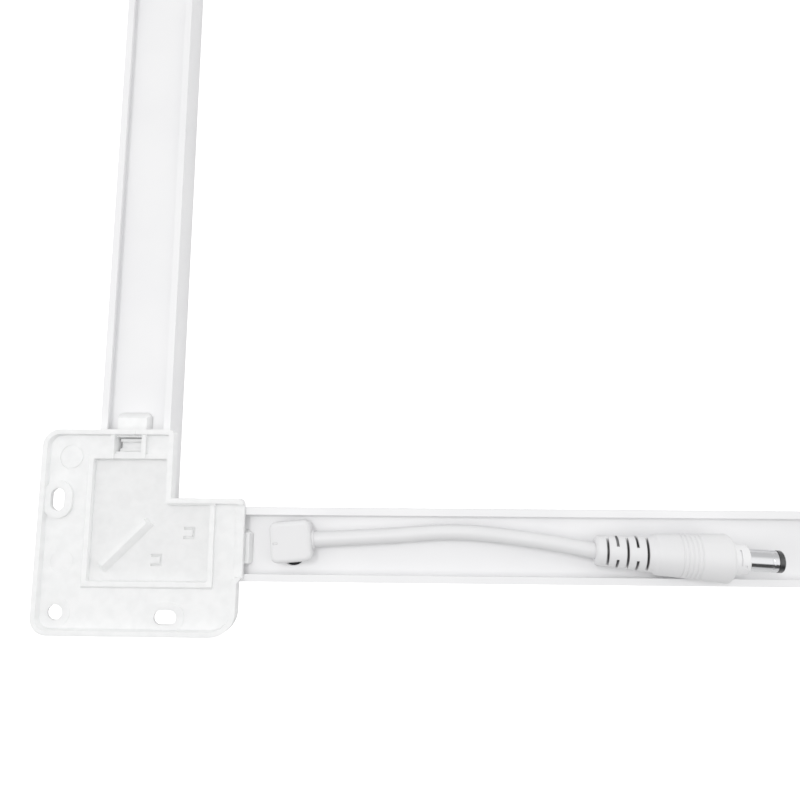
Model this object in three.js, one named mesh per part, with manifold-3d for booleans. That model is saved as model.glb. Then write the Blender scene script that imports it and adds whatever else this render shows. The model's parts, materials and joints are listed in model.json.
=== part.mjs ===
// Hollow LED light box frame, seen from behind: four white aluminium channels, mitred into a
// rectangle that is open in the middle, four translucent corner brackets clipped into their backs,
// LED boards and opal covers in their fronts, and a short low-voltage lead with a barrel plug.
// Millimetres. +Z points out of the back, and the light leaves through the front, towards -Z.
// The origin is the middle of the frame on its front plane.

import * as THREE from "three";
import { mergeVertices } from "three/addons/utils/BufferGeometryUtils.js";
import Module from "manifold-3d";

const wasm = await Module();
wasm.setup();

// ---------------------------------------------------------------- driving dimensions

const opening = { x: 297, y: 210 }; // the clear window inside the frame: one A4 sheet

const channel = {
  width: 19, // outer face to inner face
  depth: 9.5, // front edge to back lip
  wall: 1.3,
  lip: 1.9, // width of the back lip, wall included
  lipThick: 0.8,
  recess: 2.5, // depth of the back recess, lip to web
  web: 1.2,
  mitreGap: 0.3,
  stepHeight: 5.6, // below this the outer faces stand back a little
  step: 0.25,
  grooveHeight: 2.0, // front edge to the cover's snap groove
  grooveWide: 1.0,
  grooveDeep: 0.5,
};

const cover = { thick: 1.3, sunk: 0.2, leg: 0.9, legLong: 3.4, barb: 0.35, gap: 0.15, endGap: 0.2 };

const board = { width: 12, thick: 1.0, tape: 0.2, cornerGap: 1.5 };
const led = { long: 3.5, wide: 2.8, high: 0.8, pitch: 16.6, endMargin: 5, sunk: 0.05 };
const resistor = { long: 2.0, wide: 1.25, high: 0.5, offset: 4.2, every: 3 };

const bracket = {
  plainArm: 40.2, // outer corner of the frame to the end of the plain arm
  snapArm: 39.2, // and to the end of the arm with the snap window
  overhang: 2.3, // how far an arm laps over the channel's inner face
  flange: 13.5, // how far the screw flange stands out past the frame
  plate: 1.6,
  rimWide: 1.3,
  rimHigh: 1.6,
  sharpRadius: 4.5, // outer corners of the flange
  roundRadius: 6.5, // its corner beside the plain arm
  armRadius: 1.6,
  pocket: 31.5, // length of the pocket along each arm
  pocketFloor: 0.9,
  pocketWall: 1.2,
  pocketWallHigh: 0.9,
};
const tongue = {
  snapReach: 5.0, // past the snap arm's end
  plainReach: 1.7, // past the plain arm's end
  outerGap: 1.9, // outer lip to the tongue
  innerGap: 3.9, // inner lip to the tongue
  floorGap: 0.2,
  topGap: 0.3,
  draft: 0.8, // how far each side leans in
  noseDraft: 1.7, // and the nose
  chamfer: 1.2,
};
const snap = {
  from: 1.9, // window's start, past the pocket
  long: 3.8,
  wall: 1.1,
  sideRail: 1.6,
  finger: 1.2,
  fingerGap: 0.6,
  ridge: 0.8,
  hookLong: 1.4,
  holeGap: 0.3,
};
const screwHole = { radius: 1.9, inset: 5.6 };
const screwSlot = { wide: 3.6, long: 5.8, inset: 4.6, along: 20.8 };
const collar = { wide: 2.0, high: 0.9 };
const cornerRib = { wide: 2.0, start: 2.9, end: 15.4, proud: 0.9 };
const springTab = { size: 3.0, slit: 0.6, places: [[17.5, 5.3], [25.8, 12.3]] };

const outlet = {
  pastArm: 12.5, // plain arm's end to the middle of the lead's outlet
  offCentre: 0.95, // channel's middle to the middle of the outlet
  long: 10.6,
  wide: 10.4,
  high: 5.8,
  radius: 1.8,
  bevel: 0.7,
  turned: THREE.MathUtils.degToRad(5),
  neck: 3.0,
  neckDown: 1.1, // neck's centre, below the block's
  neckGap: 0.15,
  slotDown: 2.3, // how much longer the web's threading slot is than the neck
  boreHeight: 2.35, // lead's centre over the web
};
const pushRing = { thick: 0.8, radius: 4.2, gap: 0.15 };
const feedWire = { radius: 0.55, apart: 2.4, long: 7.0 };
const cornerLink = { wide: 2.6, thick: 1.1, bend: 4.0, lap: 2.2 };

const lead = { radius: 2.0, sides: 10, gap: 0.3 };

const plug = {
  turned: THREE.MathUtils.degToRad(-2.6),
  lifted: THREE.MathUtils.degToRad(3.7),
  reliefLong: 13.0,
  reliefStart: 3.8,
  reliefEnd: 4.5,
  rings: 5,
  firstSlit: 1.7,
  slitPitch: 2.39,
  slit: 0.6,
  slitDeep: 1.5,
  bridge: 1.6, // half width of the bridges between slits
  gripLong: 19.1,
  gripStart: 5.1,
  gripEnd: 6.1,
  noseLong: 4.1,
  noseRadius: 4.0,
  noseStem: 3.3,
  stemLong: 4.5,
  sleeveRadius: 2.75,
  sleeveWall: 0.3,
  sleeveLong: 6.9, // stands out of the nose
  tipLong: 1.4,
  pinBore: 1.25,
  contactWall: 0.2,
  fit: 0.1,
  sides: 28,
};

// ---------------------------------------------------------------- sizes that follow from them

const outer = { x: opening.x + 2 * channel.width, y: opening.y + 2 * channel.width };
const webBack = channel.depth - channel.recess;
const webFront = webBack - channel.web;
const tapeFront = webFront - board.tape;
const boardFront = tapeFront - board.thick;
const boardEdge = (channel.width - board.width) / 2;
const boardStart = boardEdge + board.width + board.cornerGap;
const plateTop = channel.depth + bracket.plate;
const armInner = channel.width + bracket.overhang;
const tongueBottom = webBack + tongue.floorGap;
const tongueOuter = channel.lip + tongue.outerGap;
const tongueInner = channel.width - channel.lip - tongue.innerGap;
const snapWindow = {
  x0: tongueOuter + snap.sideRail,
  x1: tongueInner - snap.wall / 2,
  y0: bracket.pocket + snap.from,
  y1: bracket.pocket + snap.from + snap.long,
};
const outletX = bracket.plainArm + outlet.pastArm;
const outletY = channel.width / 2 + outlet.offCentre;
const bore = webBack + outlet.boreHeight;

// ---------------------------------------------------------------- solids, shapes and booleans

const solidOf = (geometry) => {
  geometry.deleteAttribute("normal");
  geometry.deleteAttribute("uv");
  const merged = mergeVertices(geometry, 1e-4);
  return new wasm.Manifold(
    new wasm.Mesh({
      numProp: 3,
      vertProperties: new Float32Array(merged.attributes.position.array),
      triVerts: new Uint32Array(merged.index.array),
    }),
  );
};

const geometryOf = (solid) => {
  const made = solid.getMesh();
  const places = new Float32Array(made.numVert * 3);
  for (let i = 0; i < made.numVert; i++) {
    places.set(made.vertProperties.subarray(i * made.numProp, i * made.numProp + 3), i * 3);
  }
  const geometry = new THREE.BufferGeometry();
  geometry.setAttribute("position", new THREE.BufferAttribute(places, 3));
  geometry.setIndex(new THREE.BufferAttribute(new Uint32Array(made.triVerts), 1));
  geometry.computeVertexNormals();
  return geometry;
};

const join = (...solids) => solids.reduce((all, next) => all.add(next));
const cut = (solid, ...tools) => tools.reduce((left, tool) => left.subtract(tool), solid);

// A flat shape in X and Y, as a solid from one height to another.
const prism = (shape, low, high, curveSegments = 4) =>
  solidOf(
    new THREE.ExtrudeGeometry(shape, { depth: high - low, bevelEnabled: false, curveSegments })
      .translate(0, 0, low),
  );

// A cross-section, drawn in Y and Z, run along X from one place to another.
const bar = (section, from, to) => {
  const geometry = new THREE.ExtrudeGeometry(section, { depth: to - from, bevelEnabled: false });
  geometry.translate(0, 0, from);
  geometry.applyMatrix4(new THREE.Matrix4().set(0, 0, 1, 0, 1, 0, 0, 0, 0, 1, 0, 0, 0, 0, 0, 1));
  return solidOf(geometry);
};

const polygon = (points) => new THREE.Shape(points.map(([x, y]) => new THREE.Vector2(x, y)));

const block = ([x0, x1], [y0, y1], [z0, z1]) =>
  solidOf(
    new THREE.BoxGeometry(x1 - x0, y1 - y0, z1 - z0)
      .translate((x0 + x1) / 2, (y0 + y1) / 2, (z0 + z1) / 2),
  );

// A block whose low and high faces differ, each given as its spans in X and Y and its height.
const frustum = (low, high) => {
  const geometry = new THREE.BoxGeometry(1, 1, 1);
  const places = geometry.attributes.position;
  for (let i = 0; i < places.count; i++) {
    const [x, y, z] = places.getZ(i) < 0 ? low : high;
    places.setXYZ(i, x[places.getX(i) < 0 ? 0 : 1], y[places.getY(i) < 0 ? 0 : 1], z);
  }
  return solidOf(geometry);
};

const roundedRectangle = (x0, x1, y0, y1, radius) => {
  const shape = new THREE.Shape();
  shape.absarc(x1 - radius, y0 + radius, radius, -Math.PI / 2, 0);
  shape.absarc(x1 - radius, y1 - radius, radius, 0, Math.PI / 2);
  shape.absarc(x0 + radius, y1 - radius, radius, Math.PI / 2, Math.PI);
  shape.absarc(x0 + radius, y0 + radius, radius, Math.PI, 1.5 * Math.PI);
  shape.closePath();
  return shape;
};

const circle = (x, y, radius) => new THREE.Shape().absarc(x, y, radius, 0, 2 * Math.PI);

// A slot with round ends, long in Y, or in X when it lies along X.
const slot = (x, y, wide, long, alongX = false) => {
  const [halfX, halfY] = alongX ? [long / 2, wide / 2] : [wide / 2, long / 2];
  return roundedRectangle(x - halfX, x + halfX, y - halfY, y + halfY, wide / 2 - 0.001);
};

// A profile of [distance along X, radius] pairs, turned about the X axis.
const turned = (profile, sides = plug.sides) => {
  const points = profile.map(([along, radius]) => new THREE.Vector2(radius, along));
  return solidOf(new THREE.LatheGeometry(points, sides).rotateZ(-Math.PI / 2));
};

// ---------------------------------------------------------------- the straight sides

// Plan of a side whose ends are cut at 45 degrees, as tall as anything inside it.
const mitredPlan = (long, endGap) => {
  const low = -1;
  const high = channel.width + 1;
  const slant = endGap * Math.SQRT2;
  const corners = [
    [low + slant, low],
    [long - low - slant, low],
    [long - high - slant, high],
    [high + slant, high],
  ];
  return prism(polygon(corners), -1, channel.depth + 1);
};

// One half of the channel's section, outer face first, as [distance in from the face, height].
const channelHalf = () => {
  const { wall, lip, lipThick, depth, step, stepHeight, grooveHeight, grooveWide, grooveDeep } = channel;
  return [
    [wall, webFront],
    [wall, grooveHeight + grooveWide],
    [wall - grooveDeep, grooveHeight + grooveWide],
    [wall - grooveDeep, grooveHeight],
    [wall, grooveHeight],
    [wall, 0],
    [step, 0],
    [step, stepHeight],
    [0, stepHeight],
    [0, depth],
    [lip, depth],
    [lip, depth - lipThick],
    [wall, depth - lipThick],
    [wall, webBack],
  ];
};

const mirrored = (points, width) => points.map(([y, z]) => [width - y, z]).reverse();

const channelSection = () =>
  polygon([...channelHalf(), ...mirrored(channelHalf(), channel.width)].reverse());

const webHole = (long) => {
  const { x0, x1, y1 } = snapWindow;
  const far = y1 - snap.fingerGap;
  return block(
    [long - far - snap.holeGap, long - far + snap.hookLong + snap.holeGap],
    [x0 + snap.fingerGap - snap.holeGap, x1 - snap.fingerGap + snap.holeGap],
    [webFront - 1, webBack + 1],
  );
};

const threadingSlot = () => {
  const radius = outlet.neck + outlet.neckGap;
  const y = outletY - outlet.neckDown - outlet.slotDown / 2;
  const hole = slot(outletX, y, 2 * radius, 2 * radius + outlet.slotDown);
  return prism(hole, webFront - 1, webBack + 1, 6);
};

const channelSide = (long, hasOutlet) => {
  const whole = bar(channelSection(), 0, long).intersect(mitredPlan(long, channel.mitreGap / 2));
  const punched = cut(whole, webHole(long));
  return hasOutlet ? cut(punched, threadingSlot()) : punched;
};

const coverHalf = () => {
  const side = channel.wall + cover.gap;
  const { grooveHeight, grooveWide } = channel;
  const barbLow = grooveHeight + 0.2;
  const barbHigh = grooveHeight + grooveWide - 0.2;
  return [
    [side + cover.leg, cover.sunk + cover.thick],
    [side + cover.leg, cover.legLong],
    [side, cover.legLong],
    [side, barbHigh],
    [side - cover.barb, barbHigh],
    [side, barbLow],
    [side, cover.sunk],
  ];
};

const coverSide = (long) => {
  const section = polygon([...coverHalf(), ...mirrored(coverHalf(), channel.width)].reverse());
  return bar(section, 0, long).intersect(mitredPlan(long, channel.mitreGap / 2 + cover.endGap));
};

const boardHole = () => {
  const hole = circle(outletX, outletY - outlet.neckDown, pushRing.radius + pushRing.gap);
  return prism(hole, 0, channel.depth, 8);
};

const boardStrip = (long, from, to) =>
  block([boardStart, long - boardStart], [boardEdge, boardEdge + board.width], [from, to]);

const tapeSide = (long, hasOutlet) => {
  const strip = boardStrip(long, tapeFront, webFront);
  return hasOutlet ? cut(strip, boardHole()) : strip;
};

// Where the LEDs sit along a board: an even pitch, centred, clear of the lead's outlet.
const ledPlaces = (long, hasOutlet) => {
  const room = long - 2 * (boardStart + led.endMargin);
  const count = Math.floor(room / led.pitch) + 1;
  const first = long / 2 - ((count - 1) * led.pitch) / 2;
  const places = Array.from({ length: count }, (_, i) => first + i * led.pitch);
  const clear = pushRing.radius + pushRing.gap + led.long;
  return places.filter((x) => !hasOutlet || Math.abs(x - outletX) > clear);
};

const boardSide = (long, hasOutlet) => {
  const middle = channel.width / 2;
  const strip = boardStrip(long, boardFront, tapeFront);
  const parts = ledPlaces(long, hasOutlet).flatMap((x, i) => {
    const chip = block(
      [x - led.long / 2, x + led.long / 2],
      [middle - led.wide / 2, middle + led.wide / 2],
      [boardFront - led.high, boardFront + led.sunk],
    );
    if (i % resistor.every !== 1) return [chip];
    const y = middle + resistor.offset;
    const dropper = block(
      [x + led.pitch / 2 - resistor.long / 2, x + led.pitch / 2 + resistor.long / 2],
      [y - resistor.wide / 2, y + resistor.wide / 2],
      [boardFront - resistor.high, boardFront + led.sunk],
    );
    return [chip, dropper];
  });
  return join(hasOutlet ? cut(strip, boardHole()) : strip, ...parts);
};

// ---------------------------------------------------------------- the corner bracket
// Its own frame: the frame's outer corner at the origin, arms along +X and +Y, flanges outside.

// The L of the two arms, drawn by its inset from the arms' own edges.
const armsShape = (start, width, reach) =>
  polygon([[start, start], [reach, start], [reach, width], [width, width], [width, reach], [start, reach]]);

// The outline of the whole bracket, moved in by a distance.
const bracketOutline = (inset) => {
  const low = -bracket.flange + inset;
  const plainEnd = bracket.plainArm - inset;
  const snapEnd = bracket.snapArm - inset;
  const inner = armInner - inset;
  const sharp = bracket.sharpRadius - inset;
  const big = bracket.roundRadius - inset;
  const small = Math.max(bracket.armRadius - inset, 0.3);
  const shape = new THREE.Shape();
  shape.absarc(low + sharp, low + sharp, sharp, Math.PI, 1.5 * Math.PI);
  shape.absarc(snapEnd - big, low + big, big, 1.5 * Math.PI, 2 * Math.PI);
  shape.lineTo(snapEnd, 0);
  shape.lineTo(plainEnd, bracket.plainArm - bracket.snapArm);
  shape.absarc(plainEnd - small, inner - small, small, 0, Math.PI / 2);
  shape.lineTo(inner, inner);
  shape.absarc(inner - small, snapEnd - small, small, 0, Math.PI / 2);
  shape.absarc(low + sharp, snapEnd - sharp, sharp, Math.PI / 2, Math.PI);
  shape.closePath();
  return shape;
};

const tonguePlan = (end) => {
  const c = tongue.chamfer;
  return polygon([
    [bracket.pocket - 1, tongueOuter],
    [end - c, tongueOuter],
    [end, tongueOuter + c],
    [end, tongueInner - c],
    [end - c, tongueInner],
    [bracket.pocket - 1, tongueInner],
  ]);
};

// A tongue along X: sloping sides and nose, chamfered corners, and a root under the plate.
const tongueAlongX = (end) => {
  const top = channel.depth - tongue.topGap;
  const wedge = frustum(
    [[bracket.pocket, end], [tongueOuter, tongueInner], tongueBottom],
    [
      [bracket.pocket, end - tongue.noseDraft],
      [tongueOuter + tongue.draft, tongueInner - tongue.draft],
      top,
    ],
  );
  const root = block(
    [bracket.pocket, bracket.snapArm - bracket.rimWide],
    [tongueOuter + tongue.draft, tongueInner - tongue.draft],
    [top - 0.5, channel.depth + 0.2],
  );
  return join(wedge.intersect(prism(tonguePlan(end), 0, channel.depth)), root);
};

const swapXY = (solid) => solid.rotate([0, 0, 90]).mirror([1, 0, 0]);

// The sprung finger that drops its hook into the channel's web.
const snapFinger = () => {
  const { x0, x1, y0, y1 } = snapWindow;
  const x = [x0 + snap.fingerGap, x1 - snap.fingerGap];
  const end = y1 - snap.fingerGap;
  const low = tongueBottom + 0.4;
  const ridge = (y) => block(x, [y, y + snap.ridge], [low, channel.depth + 0.4]);
  return join(
    block(x, [y0 - 0.5, end], [low, low + snap.finger]),
    ridge(y0 + 0.1),
    ridge(end - snap.ridge),
    block(x, [end - snap.hookLong, end], [webFront + 0.15, low + 0.1]),
  );
};

const snapWalls = () => {
  const { x0, x1 } = snapWindow;
  const y = [bracket.pocket, bracket.snapArm - bracket.rimWide / 2];
  const z = [channel.depth, plateTop + bracket.rimHigh - 0.4];
  return join(block([x0 - snap.wall, x0], y, z), block([x1, x1 + snap.wall], y, z));
};

const collarAround = (x, y, wide, long, alongX, high) =>
  prism(
    slot(x, y, wide + 2 * collar.wide, long + 2 * collar.wide, alongX),
    channel.depth,
    plateTop + high,
  );

const through = (shape, curveSegments) => prism(shape, -1, 30, curveSegments);

// A C-shaped slit that leaves a small square tab, hinged on its -X side.
const springTabSlit = ([x, y]) => {
  const half = springTab.size / 2;
  const inner = half - springTab.slit;
  return prism(
    polygon([
      [x - half, y - half],
      [x + half, y - half],
      [x + half, y + half],
      [x - half, y + half],
      [x - half, y + inner],
      [x + inner, y + inner],
      [x + inner, y - inner],
      [x - half, y - inner],
    ]),
    0,
    30,
  );
};

const cornerBracket = () => {
  const hole = -bracket.flange + screwHole.inset;
  const slotAcross = -bracket.flange + screwSlot.inset;
  const { along, wide, long } = screwSlot;
  const rim = cut(
    prism(bracketOutline(0), plateTop - 0.1, plateTop + bracket.rimHigh),
    prism(bracketOutline(bracket.rimWide), plateTop - 1, plateTop + bracket.rimHigh + 1),
    block([bracket.snapArm - 1, bracket.plainArm + 1], [1, armInner - bracket.rimWide], [plateTop, 30]),
  );
  const start = -bracket.pocketWall;
  const wallEnd = bracket.pocket + bracket.pocketWall;
  const pocketWalls = prism(
    armsShape(start, armInner, wallEnd),
    channel.depth,
    plateTop + bracket.pocketWallHigh,
  );
  const raised = join(
    prism(bracketOutline(0), channel.depth, plateTop),
    rim,
    pocketWalls,
    collarAround(slotAcross, along, wide, long, false, collar.high),
    collarAround(along, slotAcross, wide, long, true, collar.high),
    prism(circle(hole, hole, screwHole.radius + collar.wide), channel.depth, plateTop + collar.high / 2, 8),
    snapWalls(),
  );
  const pocketSpace = prism(
    armsShape(0, channel.width + 0.6, bracket.pocket),
    channel.depth + bracket.pocketFloor,
    30,
  );
  const rib = block(
    [cornerRib.start * Math.SQRT2, cornerRib.end * Math.SQRT2],
    [-cornerRib.wide / 2, cornerRib.wide / 2],
    [tongueBottom + 0.3, channel.depth + bracket.pocketFloor + cornerRib.proud],
  ).rotate([0, 0, 45]);
  const { x0, x1, y0, y1 } = snapWindow;
  const plainTongue = tongueAlongX(bracket.plainArm + tongue.plainReach);
  const snapTongue = swapXY(tongueAlongX(bracket.snapArm + tongue.snapReach));
  const body = cut(join(raised, plainTongue, snapTongue), pocketSpace);
  const opened = cut(
    join(body, rib),
    block([x0, x1], [y0, y1], [0, 30]),
    ...springTab.places.map(springTabSlit),
    through(circle(hole, hole, screwHole.radius), 8),
    through(slot(slotAcross, along, wide, long), 6),
    through(slot(along, slotAcross, wide, long, true), 6),
  );
  return join(opened, snapFinger());
};

// ---------------------------------------------------------------- wiring inside the frame

// A tube of any section along a smooth curve through the points given.
const tube = (section, points, steps, curveSegments = 4) => {
  const places = points.map((p) => new THREE.Vector3(...p));
  const extrudePath = new THREE.CatmullRomCurve3(places, false, "centripetal");
  const options = { steps, extrudePath, bevelEnabled: false, curveSegments };
  return solidOf(new THREE.ExtrudeGeometry(section, options));
};

const round = (radius, sides) =>
  polygon(
    Array.from({ length: sides }, (_, i) => {
      const angle = (2 * Math.PI * (i + 0.5)) / sides;
      return [radius * Math.cos(angle), radius * Math.sin(angle)];
    }),
  );

// A flat two-core link that turns the corner between two boards' ends, soldered on their faces.
const cornerLinkWire = () => {
  const middle = channel.width / 2;
  const reach = boardStart + cornerLink.lap;
  const { wide, thick, bend } = cornerLink;
  const turn = { x: middle + bend, y: middle + bend };
  const plan = new THREE.Shape();
  plan.moveTo(reach, middle - wide / 2);
  plan.lineTo(turn.x, middle - wide / 2);
  plan.absarc(turn.x, turn.y, bend + wide / 2, -Math.PI / 2, -Math.PI, true);
  plan.lineTo(middle - wide / 2, reach);
  plan.lineTo(middle + wide / 2, reach);
  plan.absarc(turn.x, turn.y, bend - wide / 2, Math.PI, 1.5 * Math.PI, false);
  plan.lineTo(reach, middle + wide / 2);
  plan.closePath();
  const halves = prism(plan, boardFront - thick, boardFront, 5);
  const grooveAt = (z) => {
    const seam = new THREE.Shape();
    const half = 0.25;
    seam.moveTo(reach + 1, middle - half);
    seam.lineTo(turn.x, middle - half);
    seam.absarc(turn.x, turn.y, bend + half, -Math.PI / 2, -Math.PI, true);
    seam.lineTo(middle - half, reach + 1);
    seam.lineTo(middle + half, reach + 1);
    seam.absarc(turn.x, turn.y, bend - half, Math.PI, 1.5 * Math.PI, false);
    seam.lineTo(reach + 1, middle + half);
    seam.closePath();
    return prism(seam, z - 0.3, z + 0.3, 5);
  };
  return cut(halves, grooveAt(boardFront - thick), grooveAt(boardFront));
};

// A feed wire from the neck of the outlet to the board's face beside its hole.
const feed = (side) => {
  const y = outletY - outlet.neckDown + (side * feedWire.apart) / 2;
  const z = boardFront - feedWire.radius;
  const neckEnd = tapeFront - pushRing.thick;
  return tube(
    round(feedWire.radius, 8),
    [
      [outletX + 0.8, y, neckEnd - lead.gap / 2],
      [outletX + 1.3, y, z - 0.9],
      [outletX + 3.4, y, z - 0.5],
      [outletX + feedWire.long, y, z - 0.02],
    ],
    10,
  );
};

// ---------------------------------------------------------------- the lead's outlet

const outletBlock = () => {
  const { long, wide, high, radius, bevel, neck, neckDown, turned: angle } = outlet;
  const shape = (grow) =>
    roundedRectangle(-long / 2 - grow, long / 2 + grow, -wide / 2 - grow, wide / 2 + grow, radius + grow);
  const body = solidOf(
    new THREE.ExtrudeGeometry(shape(-bevel), {
      depth: high - 2 * bevel,
      bevelThickness: bevel,
      bevelSize: bevel,
      bevelSegments: 2,
      curveSegments: 3,
    }).translate(0, 0, webBack + bevel),
  );
  const foot = prism(circle(0, -neckDown, neck + 1.2), webBack, webBack + 0.9, 8);
  const stem = prism(circle(0, -neckDown, neck), tapeFront - pushRing.thick, webBack + 1, 8);
  return join(body, foot, stem).rotate([0, 0, THREE.MathUtils.radToDeg(angle)]);
};

const retainingRing = () =>
  cut(
    prism(circle(0, 0, pushRing.radius), 0, pushRing.thick, 8),
    prism(circle(0, 0, outlet.neck + pushRing.gap), -1, pushRing.thick + 1, 8),
  );

// ---------------------------------------------------------------- the plug
// Its own frame: the axis along +X, the lead entering at the origin.

const gripStart = plug.reliefLong;
const gripEnd = gripStart + plug.gripLong;
const noseEnd = gripEnd + plug.noseLong;
const sleeveEnd = noseEnd + plug.sleeveLong;
const tipEnd = sleeveEnd + 0.15 + plug.tipLong;

// A disc about the X axis.
const disc = (from, to, radius, sides) =>
  turned([[from, 0], [from, radius], [to, radius], [to, 0]], sides);

// A cut that goes round the relief except at two opposite bridges, which turn a quarter each time.
const reliefSlit = (index) => {
  const x = plug.firstSlit + index * plug.slitPitch;
  const bridge = [-plug.bridge, plug.bridge];
  const across = [-plug.gripEnd, plug.gripEnd];
  return cut(
    disc(x, x + plug.slit, plug.reliefEnd + 1, 16),
    disc(x - 1, x + plug.slit + 1, plug.reliefStart - plug.slitDeep, 16),
    block([x - 1, x + plug.slit + 1], index % 2 ? bridge : across, index % 2 ? across : bridge),
  );
};

const plugGrip = () => {
  const edge = 1.1;
  const body = turned(
    [
      [0, 0],
      [0, plug.reliefStart - 0.5],
      [0.5, plug.reliefStart],
      [plug.reliefLong, plug.reliefEnd],
      [gripStart + 0.9, plug.gripStart],
      [gripEnd - edge, plug.gripEnd],
      [gripEnd - 0.3, plug.gripEnd - 0.4],
      [gripEnd, plug.gripEnd - 1.0],
      [gripEnd, plug.noseStem + plug.fit],
      [gripEnd - plug.stemLong - plug.fit, plug.noseStem + plug.fit],
      [gripEnd - plug.stemLong - plug.fit, 0],
    ],
  );
  return cut(body, ...Array.from({ length: plug.rings }, (_, i) => reliefSlit(i)));
};

const plugNose = () => {
  const inner = plug.sleeveRadius + plug.fit;
  const back = gripEnd - plug.stemLong;
  const groove = gripEnd + 1.4;
  return turned(
    [
      [back, inner],
      [back, plug.noseStem],
      [gripEnd + 0.1, plug.noseStem],
      [gripEnd + 0.1, plug.noseRadius],
      [groove, plug.noseRadius],
      [groove, plug.noseRadius - 0.6],
      [groove + 0.7, plug.noseRadius - 0.6],
      [groove + 0.7, plug.noseRadius - 0.1],
      [noseEnd - 0.4, plug.noseRadius - 0.3],
      [noseEnd, plug.noseRadius - 0.8],
      [noseEnd, inner],
      [back, inner],
    ],
  );
};

const plugSleeve = () => {
  const { sleeveRadius: radius, sleeveWall: wall } = plug;
  const back = gripEnd - plug.stemLong + 0.4;
  const neck = sleeveEnd - 1.1;
  return turned(
    [
      [back, radius - wall],
      [back, radius],
      [neck, radius],
      [neck + 0.25, radius - 0.16],
      [neck + 0.55, radius - 0.16],
      [neck + 0.8, radius],
      [sleeveEnd, radius],
      [sleeveEnd, radius - wall],
      [back, radius - wall],
    ],
  );
};

const plugInsulator = () => {
  const inside = plug.sleeveRadius - plug.sleeveWall - plug.fit;
  const back = gripEnd - plug.stemLong + 0.8;
  const face = sleeveEnd + 0.15;
  return turned(
    [
      [back, 0],
      [back, inside],
      [face, inside],
      [face, plug.sleeveRadius],
      [tipEnd - 0.45, plug.sleeveRadius],
      [tipEnd, plug.sleeveRadius - 0.45],
      [tipEnd, plug.pinBore],
      [back + 2, plug.pinBore],
      [back + 2, 0],
    ],
  );
};

const plugContact = () => {
  const out = plug.pinBore - plug.fit;
  const back = gripEnd - plug.stemLong + 2.95;
  const front = tipEnd - 0.9;
  return turned(
    [
      [back, out - plug.contactWall],
      [back, out],
      [front, out],
      [front, out - plug.contactWall],
      [back, out - plug.contactWall],
    ],
    plug.sides,
  );
};

// ---------------------------------------------------------------- the lead
// Its route from the outlet's face, as [along X, across Y, up Z] steps from there: out along the
// outlet, down to the web, one slack wave along the recess, and up into the plug.

const exitX = outletX + Math.cos(outlet.turned) * (outlet.long / 2 + lead.gap);
const exitY = outletY + Math.sin(outlet.turned) * (outlet.long / 2 + lead.gap);
const leadRoute = [
  [0, 0, 0], [2.5, 0.12, 0], [6, 0.27, -0.05], [12.1, 0.58, -0.15], [17.3, 0.88, -0.23],
  [22.5, 1.22, -0.27], [27.7, 1.66, -0.3], [32.9, 1.98, -0.3], [38.1, 2.04, -0.27],
  [43.3, 1.8, -0.2], [48.5, 1.33, -0.04], [53.6, 0.73, 0.28], [58.6, 0.1, 0.72],
  [63.6, -0.62, 1.2], [67.7, -1.34, 1.57], [70.2, -1.77, 1.77], [72.5, -2.04, 1.92],
];
const leadPoints = leadRoute.map(([x, y, z]) => [exitX + x, exitY + y, bore + z]);
const leadEnd = leadPoints.at(-1);

// ---------------------------------------------------------------- materials

const material = (color, roughness, metalness = 0) =>
  new THREE.MeshStandardMaterial({ color, roughness, metalness });

const paint = material(0xf1f1f2, 0.35);
const opal = material(0xf4f4f2, 0.45);
const frosted = material(0xe9eaec, 0.4);
const blackTape = material(0x16161a, 0.8);
const whiteBoard = material(0xf2f2ee, 0.5);
const wireSleeve = material(0xd9d9d6, 0.5);
const redSleeve = material(0xa8261f, 0.5);
const blackSleeve = material(0x1b1b1d, 0.5);
const softWhite = material(0xe6e6e8, 0.5);
const hardWhite = material(0xeeeeee, 0.35);
const nickel = material(0xc9cacc, 0.18, 1);
const blackPlastic = material(0x0b0b0d, 0.3);
const springSteel = material(0x9a9b9d, 0.35, 1);
const brass = material(0xc7a765, 0.3, 1);

// ---------------------------------------------------------------- assembly

const frame = new THREE.Group();

const piece = (name, solid, finish, parent = frame) => {
  const mesh = new THREE.Mesh(geometryOf(solid), finish);
  mesh.name = name;
  parent.add(mesh);
  return mesh;
};

// Each side runs anticlockwise from its own corner, seen from behind, with its inner face on +Y.
const sides = [
  { name: "bottom", long: outer.x, x: -1, y: -1, link: "bottom_left" },
  { name: "right", long: outer.y, x: 1, y: -1 },
  { name: "top", long: outer.x, x: 1, y: 1, link: "top_right" },
  { name: "left", long: outer.y, x: -1, y: 1, link: "top_left" },
];
const cornerNames = ["bottom_left", "bottom_right", "top_right", "top_left"];

const groups = sides.map(({ name, long, x, y, link }, quarter) => {
  const group = new THREE.Group();
  group.position.set((x * outer.x) / 2, (y * outer.y) / 2, 0);
  group.rotation.z = (quarter * Math.PI) / 2;
  frame.add(group);
  const hasOutlet = name === "bottom";
  piece(`channel_${name}`, channelSide(long, hasOutlet), paint, group);
  piece(`light_cover_${name}`, coverSide(long), opal, group);
  piece(`thermal_tape_${name}`, tapeSide(long, hasOutlet), blackTape, group);
  piece(`led_board_${name}`, boardSide(long, hasOutlet), whiteBoard, group);
  piece(`corner_bracket_${cornerNames[quarter]}`, cornerBracket(), frosted, group);
  if (link) piece(`corner_link_${link}`, cornerLinkWire(), wireSleeve, group);
  return group;
});

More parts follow.
